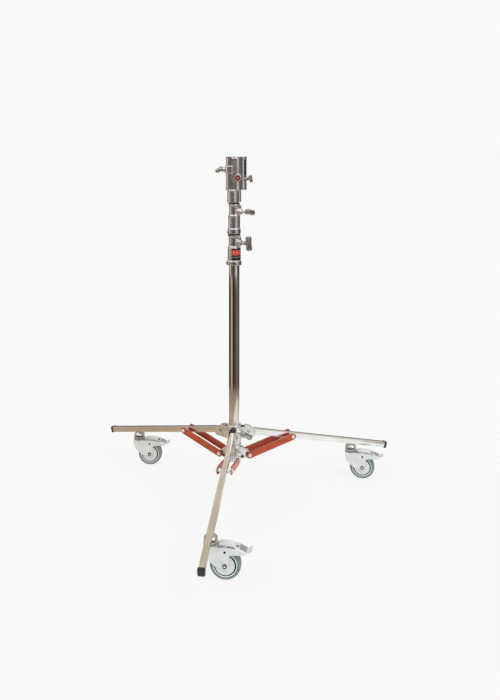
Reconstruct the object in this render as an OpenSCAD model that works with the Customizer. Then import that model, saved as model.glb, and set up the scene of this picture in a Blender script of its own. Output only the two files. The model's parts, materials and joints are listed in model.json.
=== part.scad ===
// Rolling lighting stand: a chromed column with two telescoping risers, a combination head and a
// folding three-legged base on braked castors.
// Frame: millimetres, +Z up, origin on the column's axis at the floor. The front leg points along -Y,
// and the rear legs point 30 and 150 degrees round from +X.
// Every leg's parts are drawn in its own frame: +X outward from the column, +Z up.

/* [Legs] */
// Tilt of an open leg below the horizontal, in degrees
leg_tilt = 13.8; // [12:0.1:15]
// Width of the leg tube
leg_w = 20; // [19:0.5:20.5]
// Height of the leg tube
leg_h = 22.5; // [21:0.5:24]
// Wall of the leg tube
leg_wall = 1.6; // [1.2:0.1:2.5]
// Distance from the hub pivot to the end of the leg tube
leg_reach = 646; // [600:1:680]
// Distance of both base pivots from the column's axis
pivot_r = 54.5; // [53:0.5:56]
// Height of the leg pivots on the hub
hub_pivot_z = 265.4; // [264:0.1:267]
// Pivot-to-pivot length of a brace, and from the hub pivot to the knee on the leg
arm = 190.5; // [189:0.5:192]

/* [Column] */
// Outer radius of the column tube
column_r = 20; // [20:0.1:20]
// Wall of the column tube
column_wall = 1.5; // [1.2:0.1:1.6]
// Height of the column tube's lower end
column_foot_z = 160; // [158:1:162]
// Height of the column tube's upper end
column_top_z = 974; // [970:1:975]
// Outer radius of the first riser
riser_1_r = 17.5; // [17.4:0.1:17.6]
// Outer radius of the second riser
riser_2_r = 15; // [14.9:0.1:15.1]
// Wall of both risers
riser_wall = 1.6; // [1.2:0.1:1.8]

/* [Head] */
// Height of the head's top face
head_top_z = 1323; // [1321:1:1326]
// Direction of the head's long side, in degrees from +X
head_azimuth = -17; // [-40:1:10]
// Radius of the junior socket's bore
socket_r = 14.3; // [14.2:0.05:14.4]
// Radius of the baby spigot
spigot_r = 7.95; // [7.9:0.01:8]

/* [Castors] */
// Distance of the castor stems from the column's axis
castor_r = 517; // [510:1:525]
// Radius of the wheels
wheel_r = 50; // [49:0.5:50]
// Width of the tyre
tyre_w = 32; // [30:0.5:32]
// Distance of the axle behind the stem
castor_trail = 47; // [45:0.5:48]

/* [Hidden] */
$fn = 64;
eps = 0.01;

// Legs and castors are numbered front, right, left
front = 0;
right = 1;
left = 2;
leg_azimuth = [-90, 30, 150];
trail_azimuth = [0, -2, 4];

// Running fit of a pin, and the wider gap at the two pivots that a chain of joints leaves open
pin_gap = 0.05;
open_gap = 0.3;
slide_gap = 0.3;
leg_pivot_gap = [pin_gap, open_gap, open_gap];

// Base
leg_inner = 21;
leg_corner = 3;
cap_wall = 1.9;
cap_skirt = 8;
cap_end = 2.5;
cap_corner = 4.5;
pivot_bolt_r = 4.5;
brace_bolt_r = 4;
collar_pivot_z = hub_pivot_z - 2 * arm * sin(leg_tilt);
cheek_in = leg_w / 2 + 2.3;
cheek_t = 3.4;
bar_in = 20;
bar_out = 27;
bar_h = 25;
bar_wall = 2;
lug_in = 12.5;
lug_out = 19.4;
collar_r = 26;
collar_foot_z = 158;
collar_top_z = 222;
hub_foot_z = collar_top_z + slide_gap;
hub_top_z = 297;
boss_screw_z = 180;
boss_screw_azimuth = [-30, 90, 210];

// Column stack
column_bore = column_r - column_wall;
label_r = 24.3;
gasket_z = 1027;
gasket_t = 5;
skirt_r = 27.7;
band_r = 24.4;
riser_1_top_z = 1097;
riser_1_gasket_z = 1145;
riser_1_gasket_t = 4;
riser_1_foot_z = 175;
riser_2_foot_z = 192;
riser_2_top_z = 1190;
riser_1_bore = riser_1_r - riser_wall;
riser_2_bore = riser_2_r - riser_wall;

// Clamp screws: azimuth, height, distance of the bar from the axis
column_screw = [-32, 1000, 71];
riser_screw = [-17, 1116, 65];
hub_screw = [-40, 271, 69];
screw_r = 5;
small_screw_r = 4;

// Head, in a frame turned by head_azimuth
socket_x = -15;
socket_barrel_r = 17.4;
socket_band_r = 21.3;
socket_foot_z = 1228;
socket_screw_z = 1273;
slider_x = 31;
slider_barrel_r = 18.5;
slider_r = 14.5;
slider_bore_z = 1206;
slider_top_z = 1254;
spigot_screw_z = 1241;
slot_azimuth = -17;
slot_half_w = 5.4;
slot_foot_z = 1228;
slot_top_z = 1313;
barrel_foot_z = 1195;
neck_x = -5;
neck_r = 21.3;
web_half_w = 14;
web_top_z = 1316;
badge_x = 23.5;
badge_y = -19.3;
badge_z = 1243;

// Castors, in a frame with +X along the trail
fork_in = 19;
fork_sheet = 2.5;
fork_roof_z = 105;
fork_roof_t = 3;
rivet_z = 95;
rim_r = 39;
guard_r = 31.4;
axle_r = 4;
stem_r = 6;
cup_z = 128;

// ---- shared shapes ----

module rounded_box_outline(w, h, r) {
    square([w - 2 * r, h], center = true);
    square([w, h - 2 * r], center = true);
    for (x = [-1, 1], y = [-1, 1])
        translate([x * (w / 2 - r), y * (h / 2 - r)])
            circle(r);
}

module pipe(r_out, r_in, z0, z1) {
    translate([0, 0, z0])
        difference() {
            cylinder(r = r_out, h = z1 - z0);
            translate([0, 0, -1])
                cylinder(r = r_in, h = z1 - z0 + 2);
        }
}

// A round bar along +X from x0 to x1
module rod_x(r, x0, x1) {
    translate([x0, 0, 0])
        rotate([0, 90, 0])
            cylinder(r = r, h = x1 - x0);
}

// A round bar along Y, centred, from y0 to y1
module rod_y(r, y0, y1) {
    translate([0, y0, 0])
        rotate([-90, 0, 0])
            cylinder(r = r, h = y1 - y0);
}

module hex_y(across, y0, y1) {
    translate([0, y0, 0])
        rotate([-90, 0, 0])
            cylinder(r = across / sqrt(3), h = y1 - y0, $fn = 6);
}

// An outline drawn in X and Z, given thickness along Y from y0 to y1
module plate_xz(y0, y1) {
    translate([0, y1, 0])
        rotate([90, 0, 0])
            linear_extrude(y1 - y0)
                children();
}

module at_leg(k) {
    rotate([0, 0, leg_azimuth[k]])
        children();
}

// +X runs down the leg from the hub pivot
module along_leg(k) {
    at_leg(k)
        translate([pivot_r, 0, hub_pivot_z])
            rotate([0, leg_tilt, 0])
                children();
}

// +X runs up the brace from the lower collar's pivot
module along_brace(k) {
    at_leg(k)
        translate([pivot_r, 0, collar_pivot_z])
            rotate([0, -leg_tilt, 0])
                children();
}

module at_castor(k) {
    at_leg(k)
        translate([castor_r, 0, 0])
            rotate([0, 0, trail_azimuth[k] - leg_azimuth[k]])
                children();
}

// +X runs out along a clamp screw
module at_screw(screw) {
    rotate([0, 0, screw[0]])
        translate([0, 0, screw[1]])
            children();
}

module at_head() {
    rotate([0, 0, head_azimuth])
        children();
}

// A cast T-handle: screw from its tip outward, neck, and a waisted bar of radius thick, turned by roll
module t_handle(tip, reach, r, bar, thick, roll) {
    half = bar / 2;
    end = thick * 0.6;
    color("silver") {
        rod_x(r, tip, reach);
        rod_x(r + thick * 0.4, reach - thick * 1.8, reach);
        translate([reach, 0, 0])
            rotate([roll, 0, 0])
                rotate_extrude()
                    polygon([
                        [0, -half], [end, -half], [thick * 0.92, -half + 0.4 * thick],
                        [thick, -half + thick], [thick * 0.84, 0], [thick, half - thick],
                        [thick * 0.92, half - 0.4 * thick], [end, half], [0, half]
                    ]);
    }
}

// ---- column ----

module column_tube() {
    color("silver")
        pipe(column_r, column_bore, column_foot_z, column_top_z);
}

// Casting on the column's top: skirt ring, label sleeve and the split clamp of the first riser
module column_clamp() {
    bore = riser_1_r + slide_gap;
    color("gainsboro")
        difference() {
            union() {
                rotate_extrude()
                    polygon([
                        [column_r + pin_gap, 914], [26.7, 914], [skirt_r, 915], [skirt_r, 929],
                        [26.7, 930], [label_r, 931], [label_r, 980], [23, 981], [23, 984],
                        [20.5, 986], [20.5, 1019], [23.8, 1022], [23.8, gasket_z],
                        [bore, gasket_z], [bore, column_top_z + pin_gap],
                        [column_r + pin_gap, column_top_z + pin_gap]
                    ]);
                at_screw(column_screw) {
                    rod_x(13, 10, 30);
                    rod_x(10, 29, 37);
                    plate_xz(-4.5, 4.5)
                        polygon([[18, -14], [27, -14], [31, 0], [32, 20], [29, 24], [18, 24]]);
                }
            }
            translate([0, 0, 900])
                cylinder(r = bore, h = 200);
            translate([0, 0, 900])
                cylinder(r = column_r + pin_gap, h = column_top_z + pin_gap - 900);
            at_screw(column_screw)
                rod_x(screw_r + pin_gap, 10, 40);
        }
}

module column_label() {
    color("firebrick")
        difference() {
            pipe(label_r + 0.5, label_r, 933, 979);
            rotate([0, 0, 27])
                translate([0, 0, 930])
                    linear_extrude(50)
                        polygon([[0, 0], [60, 0], [60, 60], [-60, 60], [-60, -52], [-53, -60]]);
        }
}

module column_gasket() {
    color("black")
        pipe(24, riser_1_r + slide_gap, gasket_z, gasket_z + gasket_t);
}

module column_foot_plug() {
    color("dimgray")
        union() {
            pipe(column_bore - pin_gap, 12, column_foot_z, column_foot_z + 8);
            pipe(column_r, 12, column_foot_z - 4, column_foot_z);
        }
}

// Nylon pad between a clamp screw and the riser that it grips
module clamp_shoe(screw, riser_r) {
    color("ivory")
        difference() {
            at_screw(screw)
                rod_x(screw_r, riser_r - 3, riser_r + 3.4);
            translate([0, 0, screw[1] - 20])
                cylinder(r = riser_r + slide_gap, h = 40);
        }
}

// Fixed collar at the column's foot, with a pair of lugs for each brace
module lower_collar() {
    color("gainsboro")
        difference() {
            union() {
                rotate_extrude()
                    polygon([
                        [15, collar_foot_z], [24, collar_foot_z], [collar_r, collar_foot_z + 2],
                        [collar_r, 214], [27.2, 216], [27.2, 221], [26.4, collar_top_z],
                        [15, collar_top_z]
                    ]);
                for (k = [front, right, left])
                    at_leg(k)
                        for (side = [-1, 1])
                            brace_lug(side);
                for (a = boss_screw_azimuth)
                    rotate([0, 0, a])
                        translate([0, 0, boss_screw_z])
                            rod_x(8, 18, 38);
            }
            translate([0, 0, collar_foot_z - 1])
                cylinder(r = column_r + pin_gap, h = 100);
            for (k = [front, right, left])
                at_leg(k)
                    translate([pivot_r, 0, collar_pivot_z])
                        rod_y(brace_bolt_r + pin_gap, -40, 40);
            for (a = boss_screw_azimuth)
                rotate([0, 0, a])
                    translate([0, 0, boss_screw_z])
                        rod_x(3 + pin_gap, 12, 40);
        }
}

module brace_lug(side) {
    mid = side * (lug_in + lug_out) / 2;
    half = (lug_out - lug_in) / 2;
    plate_xz(mid - half, mid + half)
        union() {
            polygon([[12, 163], [52, 164.2], [58, 183], [30, 208], [12, 212]]);
            translate([pivot_r, collar_pivot_z])
                circle(12);
        }
}

// Black-headed screws that clamp the lower collar, and the small screw in the casting above
module collar_screws() {
    color("black") {
        for (a = boss_screw_azimuth)
            rotate([0, 0, a])
                translate([0, 0, boss_screw_z]) {
                    rod_x(3, column_r + 1, 39);
                    rod_x(4.7, 38, 45);
                }
        small_screw(923, skirt_r);
    }
}

// Round-headed screw in a casting of radius r
module small_screw(z, r) {
    difference() {
        rotate([0, 0, 185])
            translate([0, 0, z])
                rod_x(2.6, r - 1, r + 3.3);
        translate([0, 0, z - 5])
            cylinder(r = r, h = 10);
    }
}

module brace_pivot_bolts() {
    color("silver")
        for (k = [front, right, left])
            at_leg(k)
                translate([pivot_r, 0, collar_pivot_z])
                    pivot_bolt(brace_bolt_r, bar_out + 0.3);
}

// A bolt along Y with a domed head and a nut, outside whatever spans from -half to half
module pivot_bolt(r, half) {
    rod_y(r, -half - 1, half + 1);
    translate([0, -half, 0])
        rotate([90, 0, 0])
            rotate_extrude()
                polygon([[0, 0], [6.6, 0], [6.6, 1.4], [4.6, 3.6], [0, 4.2]]);
    hex_y(12, half, half + 4.4);
}

// ---- risers ----

module riser_1_tube() {
    color("silver")
        pipe(riser_1_r, riser_1_bore, riser_1_foot_z, riser_1_top_z);
}

module riser_1_clamp() {
    bore = riser_2_r + slide_gap;
    foot_z = gasket_z + gasket_t + slide_gap;
    seat = riser_1_r + pin_gap;
    color("gainsboro")
        difference() {
            union() {
                rotate_extrude()
                    polygon([
                        [seat, foot_z], [23.4, foot_z], [band_r, foot_z + 1], [band_r, 1051],
                        [23.4, 1052], [22.1, 1053], [22.1, 1095], [22.8, 1096], [22.8, 1101],
                        [19.2, 1104], [19.2, 1137], [21.8, 1140], [21.8, riser_1_gasket_z],
                        [bore, riser_1_gasket_z], [bore, riser_1_top_z + pin_gap],
                        [seat, riser_1_top_z + pin_gap]
                    ]);
                at_screw(riser_screw) {
                    rod_x(12.3, 8, 27);
                    rod_x(9.5, 26, 33);
                    plate_xz(-4, 4)
                        polygon([[16, -11], [24, -11], [28, 0], [28.5, 21], [26, 25], [16, 25]]);
                }
            }
            translate([0, 0, 1000])
                cylinder(r = bore, h = 200);
            translate([0, 0, 1000])
                cylinder(r = seat, h = riser_1_top_z + pin_gap - 1000);
            at_screw(riser_screw)
                rod_x(screw_r + pin_gap, 8, 40);
        }
}

module riser_1_gasket() {
    color("black")
        pipe(21, riser_2_r + slide_gap, riser_1_gasket_z, riser_1_gasket_z + riser_1_gasket_t);
}

// Plug and guide flange at the bottom of a riser tube
module riser_foot(tube_bore, bore_outside, z) {
    color("ivory") {
        pipe(bore_outside - slide_gap, 6, z - 5, z);
        pipe(tube_bore - pin_gap, 6, z, z + 8);
    }
}

module riser_1_screw() {
    color("black")
        small_screw(1042, band_r);
}

module riser_2_tube() {
    color("silver")
        pipe(riser_2_r, riser_2_bore, riser_2_foot_z, riser_2_top_z);
}

// ---- head ----

// Combination head: junior socket in the thick-banded barrel, sliding spigot in the slotted one
module head_casting() {
    foot_z = riser_1_gasket_z + riser_1_gasket_t + slide_gap;
    color("gainsboro")
        at_head()
            difference() {
                union() {
                    barrel(socket_x, socket_barrel_r, barrel_foot_z);
                    barrel(slider_x, slider_barrel_r, barrel_foot_z + 3);
                    translate([socket_x, -web_half_w, barrel_foot_z + 3])
                        cube([slider_x - socket_x, 2 * web_half_w, web_top_z - barrel_foot_z - 3]);
                    translate([socket_x, 0, 1260])
                        cylinder(r = socket_band_r, h = 26);
                    translate([0, 0, socket_screw_z])
                        rod_x(10, socket_x - 28, socket_x);
                    translate([badge_x, 0, badge_z])
                        rod_y(13.5, badge_y, -5);
                    translate([neck_x, 0, 0])
                        rotate_extrude()
                            polygon([
                                [0, foot_z], [20.3, foot_z], [neck_r, foot_z + 1],
                                [neck_r, barrel_foot_z - 6], [20.5, barrel_foot_z + 2],
                                [0, barrel_foot_z + 2]
                            ]);
                    translate([18.5, 0, foot_z + 3])
                        cylinder(r = 9.5, h = barrel_foot_z - foot_z + 2);
                }
                translate([0, 0, foot_z - 1])
                    cylinder(r = riser_2_r + pin_gap, h = riser_2_top_z + pin_gap - foot_z + 1);
                translate([socket_x, 0, socket_foot_z])
                    cylinder(r = socket_r, h = 120);
                translate([socket_x, 0, head_top_z - 1.5])
                    cylinder(r1 = socket_r, r2 = socket_r + 1.6, h = 1.6);
                translate([slider_x, 0, slider_bore_z])
                    cylinder(r = slider_r + slide_gap, h = 140);
                translate([0, 0, socket_screw_z])
                    rod_x(screw_r + pin_gap, -60, socket_x);
                spigot_slot();
            }
}

module barrel(x, r, foot_z) {
    translate([x, 0, 0])
        rotate_extrude()
            polygon([
                [0, foot_z], [r - 2, foot_z], [r, foot_z + 2], [r, head_top_z - 1.2],
                [r - 1.2, head_top_z], [0, head_top_z]
            ]);
}

// Upright slot for the spigot's screw, with round ends
module spigot_slot() {
    translate([slider_x, 0, 0])
        rotate([0, 0, slot_azimuth]) {
            translate([0, -slot_half_w, slot_foot_z + slot_half_w])
                cube([40, 2 * slot_half_w, slot_top_z - slot_foot_z - 2 * slot_half_w]);
            for (z = [slot_foot_z + slot_half_w, slot_top_z - slot_half_w])
                translate([0, 0, z])
                    rod_x(slot_half_w, 0, 40);
        }
}

module head_badge() {
    color("crimson")
        at_head()
            translate([badge_x, 0, badge_z])
                rod_y(12, badge_y - 1.2, badge_y);
}

// Slider and stepped pin in one piece
module spigot() {
    color("lightgray")
        at_head()
            translate([slider_x, 0, 0])
                difference() {
                    rotate_extrude()
                        polygon([
                            [0, slider_bore_z + 0.5], [slider_r - 1, slider_bore_z + 0.5],
                            [slider_r, slider_bore_z + 1.5], [slider_r, slider_top_z - 1],
                            [slider_r - 1, slider_top_z], [spigot_r, slider_top_z],
                            [spigot_r, 1299], [6.4, 1301], [6.4, 1308], [spigot_r, 1310],
                            [spigot_r, 1319.5], [6.6, 1321.5], [0, 1321.5]
                        ]);
                    translate([0, 0, spigot_screw_z])
                        rotate([0, 0, slot_azimuth])
                            rod_x(small_screw_r + pin_gap, 4, 20);
                }
}

// ---- T-handles ----

module t_handle_column() {
    at_screw(column_screw)
        t_handle(riser_1_r + 3.6, column_screw[2], screw_r, 54, 10.2, 5);
}

module t_handle_riser() {
    at_screw(riser_screw)
        t_handle(riser_2_r + 3.6, riser_screw[2], screw_r, 54, 10.2, 80);
}

module t_handle_socket() {
    at_head()
        translate([socket_x, 0, socket_screw_z])
            rotate([0, 0, 180])
                t_handle(socket_r + 0.6, 49, screw_r, 44, 5.8, 74);
}

// The spigot's handle also carries the washer that bears on the barrel
module t_handle_spigot() {
    at_head()
        translate([slider_x, 0, spigot_screw_z])
            rotate([0, 0, slot_azimuth]) {
                t_handle(4.5, 46, small_screw_r, 27, 4.8, 14);
                color("silver")
                    rod_x(9.5, slider_barrel_r + 0.6, slider_barrel_r + 3.2);
            }
}

module t_handle_hub() {
    at_screw(hub_screw)
        t_handle(column_r + 0.6, hub_screw[2], screw_r, 54, 10.2, 58);
}

// ---- hub ----

// Sliding collar that carries the legs
module hub_collar() {
    color("gainsboro")
        difference() {
            union() {
                rotate_extrude()
                    polygon([
                        [15, hub_foot_z], [collar_r - 0.5, hub_foot_z], [collar_r, hub_foot_z + 1],
                        [collar_r, 288], [27.2, 290], [27.2, 295.5], [26, hub_top_z],
                        [15, hub_top_z]
                    ]);
                for (k = [front, right, left])
                    at_leg(k)
                        for (side = [-1, 1])
                            hub_cheek(side);
                at_screw(hub_screw) {
                    rod_x(12.5, 18, 33);
                    rod_x(9.5, 32, 39);
                }
            }
            translate([0, 0, hub_foot_z - 1])
                cylinder(r = column_r + slide_gap, h = 100);
            at_screw(hub_screw)
                rod_x(screw_r + pin_gap, 12, 42);
            for (k = [front, right, left])
                at_leg(k)
                    translate([pivot_r, 0, hub_pivot_z])
                        rod_y(pivot_bolt_r + pin_gap, -30, 30);
        }
}

module hub_cheek(side) {
    mid = side * (cheek_in + cheek_t / 2);
    plate_xz(mid - cheek_t / 2, mid + cheek_t / 2)
        union() {
            polygon([[20, 240], [76, 240], [84, 247], [84, 262], [74, 278], [52, 284], [20, 286]]);
            translate([pivot_r, hub_pivot_z])
                circle(19);
        }
}

module hub_pivot_bolts() {
    color("dimgray")
        for (k = [front, right, left])
            at_leg(k)
                translate([pivot_r, 0, hub_pivot_z])
                    pivot_bolt(pivot_bolt_r, cheek_in + cheek_t);
}

// ---- legs ----

module leg_tube(k) {
    color("silver")
        along_leg(k)
            difference() {
                leg_length(-leg_inner, leg_reach)
                    rounded_box_outline(leg_w, leg_h, leg_corner);
                leg_length(-leg_inner - 1, leg_reach + 1)
                    leg_bore_outline();
                rod_y(pivot_bolt_r + leg_pivot_gap[k], -20, 20);
                translate([arm, 0, 0])
                    rod_y(brace_bolt_r + pin_gap, -20, 20);
                translate([(castor_r - pivot_r) / cos(leg_tilt), 0, 0])
                    rotate([0, -leg_tilt, 0])
                        translate([0, 0, -30])
                            cylinder(r = stem_r + pin_gap, h = 30);
            }
}

module leg_bore_outline() {
    rounded_box_outline(leg_w - 2 * leg_wall, leg_h - 2 * leg_wall, leg_corner - leg_wall);
}

// An outline in Y and Z, run along +X from x0 to x1
module leg_length(x0, x1) {
    translate([x0, 0, 0])
        rotate([90, 0, 90])
            linear_extrude(x1 - x0)
                children();
}

// Plastic boots over both ends of a leg
module leg_caps(k) {
    color("black")
        along_leg(k)
            for (end = [-1, 1])
                difference() {
                    leg_cap_body(end, 0, cap_skirt + cap_end)
                        rounded_box_outline(leg_w + 2 * cap_wall, leg_h + 2 * cap_wall, cap_corner);
                    leg_cap_body(end, cap_end, cap_skirt + 2 * cap_end)
                        rounded_box_outline(leg_w, leg_h, leg_corner);
                }
}

// A length of cap, from its own outer face inward, at the hub end (-1) or the far end (1)
module leg_cap_body(end, a, b) {
    face = end < 0 ? -leg_inner - cap_end : leg_reach + cap_end;
    leg_length(min(face - end * a, face - end * b), max(face - end * a, face - end * b))
        children();
}

// Bolt and spacers that join the leg to its brace
module knee_bolt(k) {
    color("silver")
        along_leg(k)
            translate([arm, 0, 0]) {
                pivot_bolt(brace_bolt_r, bar_out + 0.3);
                for (side = [-1, 1])
                    rod_y(7, side > 0 ? leg_w / 2 : -bar_in + 0.2, side > 0 ? bar_in - 0.2 : -leg_w / 2);
            }
}

// Two channel bars, one each side of the leg, with their flanges turned inward
module brace(k) {
    color("orangered")
        along_brace(k)
            for (side = [-1, 1])
                difference() {
                    union() {
                        plate_xz(side > 0 ? bar_out - bar_wall : -bar_out,
                                 side > 0 ? bar_out : -bar_out + bar_wall)
                            brace_outline(bar_h / 2);
                        plate_xz(side > 0 ? bar_in : -bar_out, side > 0 ? bar_out : -bar_in)
                            difference() {
                                brace_outline(bar_h / 2);
                                brace_outline(bar_h / 2 - bar_wall);
                                translate([-20, -20])
                                    square([20, 40]);
                                translate([arm, -20])
                                    square([20, 40]);
                            }
                    }
                    rod_y(brace_bolt_r + pin_gap, -40, 40);
                    translate([arm, 0, 0])
                        rod_y(brace_bolt_r + pin_gap, -40, 40);
                }
}

module brace_outline(r) {
    circle(r);
    translate([arm, 0])
        circle(r);
    translate([0, -r])
        square([arm, 2 * r]);
}

// ---- castors ----

// Threaded stem with its nuts, and the dished cup under the leg
module castor_stem(k) {
    color("gainsboro")
        difference() {
            at_castor(k)
                union() {
                    translate([0, 0, 99.6])
                        cylinder(r = stem_r, h = 58);
                    translate([0, 0, 99.6])
                        cylinder(r = 9, h = 5.1);
                    translate([0, 0, 147])
                        cylinder(r = 16 / sqrt(3), h = 7, $fn = 6);
                    rotate_extrude()
                        polygon([
                            [0, cup_z + 4], [19, cup_z], [22, cup_z], [22, cup_z + 3],
                            [17, cup_z + 9], [12, cup_z + 18], [0, cup_z + 18]
                        ]);
                }
            along_leg(k)
                difference() {
                    leg_length(380, 560)
                        rounded_box_outline(leg_w, leg_h, leg_corner);
                    leg_length(370, 570)
                        leg_bore_outline();
                    translate([(castor_r - pivot_r) / cos(leg_tilt), 0, 0])
                        rotate([0, -leg_tilt, 0])
                            translate([0, 0, -30])
                                cylinder(r = stem_r + eps, h = 30);
                }
            above_cup(k);
        }
}

// Space inside the leg tube round the stem and its nut, which the cup's rim doesn't enter
module above_cup(k) {
    at_castor(k)
        difference() {
            translate([0, 0, 142.9])
                cylinder(r = 30, h = 4);
            translate([0, 0, 142])
                cylinder(r = stem_r, h = 6);
        }
}

// Ball race between stem and fork
module castor_race(k) {
    color("gray")
        at_castor(k)
            rotate_extrude()
                polygon([
                    [stem_r + pin_gap, fork_roof_z + fork_roof_t], [24, fork_roof_z + fork_roof_t],
                    [24, 111], [20, 112.5], [20, 115.5], [23, 117], [23, 120.5], [13, 124],
                    [stem_r + pin_gap, 124]
                ]);
}

// Height of the fork's upper edge at a distance behind the stem
function crest(x) = 114.5 - 0.0046 * (x - 48) * (x - 48);

module fork_outline() {
    union() {
        polygon(concat(
            [for (x = [28:8.9:117]) [x, crest(x)]],
            [[118, 92], [97, 88], [66, 87], [61, 82], [60, 52], [47, 38], [36, 40], [17, 47],
             [1, 59], [-17, 76], [-22, 97], [-22, fork_roof_z + fork_roof_t],
             [24.5, fork_roof_z + fork_roof_t]]
        ));
        translate([castor_trail, wheel_r])
            circle(13);
    }
}

module castor_fork(k) {
    color("whitesmoke")
        at_castor(k)
            difference() {
                union() {
                    for (side = [-1, 1])
                        plate_xz(side > 0 ? fork_in : -fork_in - fork_sheet,
                                 side > 0 ? fork_in + fork_sheet : -fork_in)
                            fork_outline();
                    translate([-22, -fork_in - fork_sheet, fork_roof_z])
                        cube([46, 2 * (fork_in + fork_sheet), fork_roof_t]);
                }
                translate([0, 0, 90])
                    cylinder(r = stem_r + pin_gap, h = 30);
                translate([castor_trail, 0, wheel_r])
                    rod_y(axle_r + pin_gap, -30, 30);
                translate([castor_trail, 0, rivet_z])
                    rod_y(2.5 + pin_gap, -30, 30);
            }
}

// Axle bolt with its nut, the thread guards on it and the pedal's rivets
module castor_axle(k) {
    out = fork_in + fork_sheet;
    color("silver")
        at_castor(k) {
            translate([castor_trail, 0, wheel_r]) {
                rod_y(axle_r, -out - 1, out + 4);
                hex_y(13, -out - 3.4, -out);
                hex_y(13, out, out + 3.4);
                for (side = [-1, 1])
                    rod_y(guard_r, side > 0 ? 15 : -16.8, side > 0 ? 16.8 : -15);
                for (side = [-1, 1])
                    rod_y(7, side > 0 ? 15 : -fork_in, side > 0 ? fork_in : -15);
            }
            for (side = [-1, 1])
                translate([castor_trail, 0, rivet_z]) {
                    rod_y(2.5, side > 0 ? 17 : -out - 1, side > 0 ? out + 1 : -17);
                    rod_y(4, side > 0 ? out : -out - 1.4, side > 0 ? out + 1.4 : -out);
                }
        }
}

module castor_rim(k) {
    color("white")
        at_castor(k)
            translate([castor_trail, 0, wheel_r])
                rotate([90, 0, 0])
                    rotate_extrude()
                        polygon([
                            [axle_r + pin_gap, -14], [13, -14], [13, -12.6], [34.4, -12.6],
                            [34.8, -15.4], [rim_r, -15.4], [rim_r, 15.4], [34.8, 15.4],
                            [34.4, 12.6], [13, 12.6], [13, 14], [axle_r + pin_gap, 14]
                        ]);
}

module castor_tyre(k) {
    half = tyre_w / 2;
    color("slategray")
        at_castor(k)
            translate([castor_trail, 0, wheel_r])
                rotate([90, 0, 0])
                    rotate_extrude()
                        polygon([
                            [rim_r, -half], [wheel_r - 5, -half], [wheel_r - 1.6, -half + 3.4],
                            [wheel_r, -half + 8], [wheel_r, half - 8],
                            [wheel_r - 1.6, half - 3.4], [wheel_r - 5, half], [rim_r, half]
                        ]);
}

// Foot brake: roof between the fork plates, wings to the rivets, release loop, tread and end tab
module brake_pedal(k) {
    sheet = 1.8;
    roof_half_w = fork_in - 6;
    tread_half_w = fork_in - 2;
    wing_out = fork_in - 0.4;
    wing_t = 1.6;
    color("whitesmoke")
        at_castor(k) {
            plate_xz(-roof_half_w, roof_half_w)
                polygon(concat(
                    [for (x = [27:9.5:84]) [x, crest(x) + sheet]],
                    [for (x = [84:-9.5:27]) [x, crest(x)]]
                ));
            plate_xz(-tread_half_w, tread_half_w)
                polygon([
                    [79, 109.8], [91, 105.6], [116, 94.8], [119, 93.6], [131, 100.6], [132.5, 103.4],
                    [119.5, 96.2], [116, 97.2], [91, 108], [79, 111.3]
                ]);
            difference() {
                plate_xz(-7, 7)
                    polygon([[80, 108], [92, 106.5], [92, 114.5], [90, 116.5], [82, 116.5], [80, 114.5]]);
                plate_xz(-4.6, 4.6)
                    polygon([[76, 110.4], [96, 110.4], [96, 114], [76, 114]]);
            }
            for (y = [-roof_half_w, roof_half_w - wing_t])
                plate_xz(y, y + wing_t)
                    polygon([[40, 115], [40, 103], [54, 103], [54, 115]]);
            for (y = [-wing_out, roof_half_w - wing_t])
                plate_xz(y, y + wing_out - roof_half_w + wing_t)
                    polygon([[40, 103], [54, 103], [54, 105], [40, 105]]);
            for (side = [-1, 1])
                difference() {
                    plate_xz(side > 0 ? wing_out - wing_t : -wing_out, side > 0 ? wing_out : -wing_out + wing_t)
                        union() {
                            polygon([[38, 105], [castor_trail - 6, rivet_z], [castor_trail + 6, rivet_z],
                                     [56, 105]]);
                            translate([castor_trail, rivet_z])
                                circle(6.5);
                        }
                    translate([castor_trail, 0, rivet_z])
                        rod_y(2.5 + pin_gap, -30, 30);
                }
        }
}

column_tube();
column_clamp();
column_label();
column_gasket();
column_foot_plug();
clamp_shoe(column_screw, riser_1_r);  // column_clamp_shoe
lower_collar();
collar_screws();
brace_pivot_bolts();
riser_1_tube();
riser_1_clamp();
riser_1_gasket();
riser_foot(riser_1_bore, column_bore, riser_1_foot_z);  // riser_1_foot
clamp_shoe(riser_screw, riser_2_r);  // riser_1_clamp_shoe
riser_1_screw();
riser_2_tube();
riser_foot(riser_2_bore, riser_1_bore, riser_2_foot_z);  // riser_2_foot
head_casting();
head_badge();
spigot();
t_handle_column();
t_handle_riser();
t_handle_socket();
t_handle_spigot();
t_handle_hub();
hub_collar();
hub_pivot_bolts();
leg_tube(front);  // leg_tube_front
leg_caps(front);  // leg_caps_front
knee_bolt(front);  // knee_bolt_front
brace(front);  // brace_front
leg_tube(right);  // leg_tube_right
leg_caps(right);  // leg_caps_right
knee_bolt(right);  // knee_bolt_right
brace(right);  // brace_right
leg_tube(left);  // leg_tube_left
leg_caps(left);  // leg_caps_left
knee_bolt(left);  // knee_bolt_left
brace(left);  // brace_left
castor_stem(front);  // castor_stem_front
castor_race(front);  // castor_race_front
castor_fork(front);  // castor_fork_front
castor_axle(front);  // castor_axle_front
castor_rim(front);  // castor_rim_front
castor_tyre(front);  // castor_tyre_front
brake_pedal(front);  // brake_pedal_front
castor_stem(right);  // castor_stem_right
castor_race(right);  // castor_race_right
castor_fork(right);  // castor_fork_right
castor_axle(right);  // castor_axle_right
castor_rim(right);  // castor_rim_right
castor_tyre(right);  // castor_tyre_right
brake_pedal(right);  // brake_pedal_right
castor_stem(left);  // castor_stem_left
castor_race(left);  // castor_race_left
castor_fork(left);  // castor_fork_left
castor_axle(left);  // castor_axle_left
castor_rim(left);  // castor_rim_left
castor_tyre(left);  // castor_tyre_left
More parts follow.
